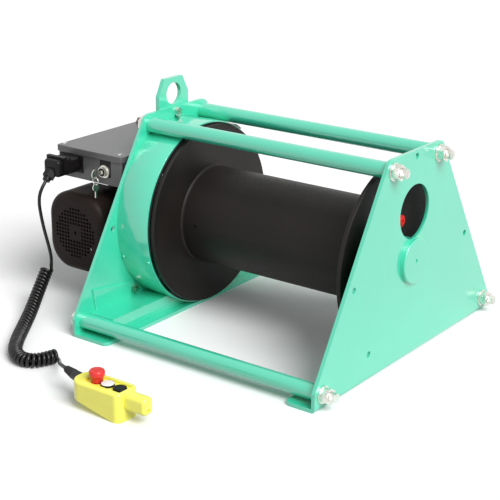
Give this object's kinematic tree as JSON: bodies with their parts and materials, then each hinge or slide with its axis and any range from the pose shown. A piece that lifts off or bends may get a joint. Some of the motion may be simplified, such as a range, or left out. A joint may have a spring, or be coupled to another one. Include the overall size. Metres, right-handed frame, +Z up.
{
  "type": "electric wire rope puller",
  "caption": "Floor-standing electric wire rope puller: tapered folded end plates, guarded rope drum, worm geared brake motor, control box and coiled-cord pendant",
  "frame": {"origin": "floor level, at the centre of the rectangle of floor bolts", "axes": "+X along the drum axis away from the motor, +Y away from the pendant, +Z up"},
  "size_m": [0.873, 0.96, 0.511],
  "materials": {
    "green_paint": "gloss",
    "green_cast": "semi-gloss",
    "black_paint": "satin",
    "grey_paint": "satin",
    "zinc": "satin",
    "steel": "machined",
    "cast_iron": "rough",
    "bronze": "machined",
    "copper": "wound",
    "motor_black": "matt",
    "black_plastic": "satin",
    "yellow_plastic": "satin",
    "red_plastic": "gloss",
    "white_plastic": "gloss",
    "dark_red_lens": "gloss",
    "black_rubber": "matt",
    "grey_plastic": "satin"
  },
  "bodies": {
    "frame": {"base_channel": "green_paint", "bearing_housings": "green_cast", "bearings": "steel", "bottom_tie_tubes": "green_paint", "box_spacers": "black_rubber", "brake_magnet": "cast_iron", "cable_gland": "black_plastic", "cap_screws": "zinc", "control_box": "grey_paint", "control_box_lid": "grey_paint", "control_gear": "grey_plastic", "cord_boot": "black_rubber", "cord_coil": "black_rubber", "cord_lower": "black_rubber", "cord_upper": "black_rubber", "drum_guard": "green_paint", "fan_cover": "motor_black", "frame_bolts": "zinc", "gearbox_cover": "green_cast", "gearbox_housing": "green_cast", "guard_edge_strip": "black_rubber", "guard_joint_bar": "grey_plastic", "key_switch": "zinc", "left_end_plate": "green_paint", "legend_plate": "black_plastic", "lifting_lug": "green_paint", "motor_end_shields": "motor_black", "motor_housing": "motor_black", "pendant_base": "yellow_plastic", "pendant_cover": "yellow_plastic", "plug_hood": "black_plastic", "power_inlet": "black_plastic", "power_lamp": "dark_red_lens", "right_end_plate": "green_paint", "socket_housing": "black_plastic", "stator": "copper", "switch_block": "black_plastic", "tie_nuts": "zinc", "tie_rods": "zinc", "tie_washers": "zinc", "top_tie_tubes": "green_paint", "wall_pad": "green_paint"},
    "drum": {"drum_barrel": "black_paint", "left_flange": "black_paint", "right_flange": "black_paint", "drum_gear": "steel", "drum_shaft": "steel", "rope_clamp": "red_plastic"},
    "output": {"worm_wheel": "bronze", "pinion_shaft": "steel"},
    "rotor": {"rotor_core": "steel", "motor_shaft": "steel", "brake_disc": "cast_iron", "cooling_fan": "black_plastic"},
    "key": {"switch_key": "zinc"},
    "ring": {"key_ring": "zinc"},
    "lever": {"locking_lever": "black_plastic"},
    "stop": {"stop_button": "red_plastic"},
    "raise": {"raise_button": "white_plastic"},
    "lower": {"lower_button": "black_plastic"}
  },
  "joints": [
    {"name": "drum_spin", "type": "hinge", "parent": "frame", "child": "drum", "pos_m": [0.022, 0, 0.2126], "axis": [1, 0, 0], "continuous": true},
    {"name": "output_spin", "type": "hinge", "parent": "frame", "child": "output", "pos_m": [-0.4, 0.1065, 0.107], "axis": [1, 0, 0], "continuous": true},
    {"name": "motor_spin", "type": "hinge", "parent": "frame", "child": "rotor", "pos_m": [-0.444, 0, 0.17], "axis": [0, 1, 0], "continuous": true},
    {"name": "key_turn", "type": "hinge", "parent": "frame", "child": "key", "pos_m": [-0.377, -0.18, 0.319], "axis": [0, 1, 0], "range_deg": [0, 90]},
    {"name": "ring_swing", "type": "hinge", "parent": "key", "child": "ring", "pos_m": [-0.377, -0.198, 0.3115], "axis": [1, 0, 0], "range_deg": [-25, 15]},
    {"name": "lever_open", "type": "hinge", "parent": "frame", "child": "lever", "pos_m": [-0.478, -0.175, 0.322], "axis": [-1, 0, 0], "range_deg": [0, 60]},
    {"name": "stop_push", "type": "slide", "parent": "frame", "child": "stop", "axis": [0, 0, -1], "range_m": [0, 0.004], "stiffness_N_per_m": 600},
    {"name": "raise_push", "type": "slide", "parent": "frame", "child": "raise", "axis": [0, 0, -1], "range_m": [0, 0.003], "stiffness_N_per_m": 500},
    {"name": "lower_push", "type": "slide", "parent": "frame", "child": "lower", "axis": [0, 0, -1], "range_m": [0, 0.003], "stiffness_N_per_m": 500}
  ],
  "couplings": [
    {"joint": "output_spin", "follows": "drum_spin", "ratio": -4},
    {"joint": "motor_spin", "follows": "drum_spin", "ratio": 60}
  ]
}
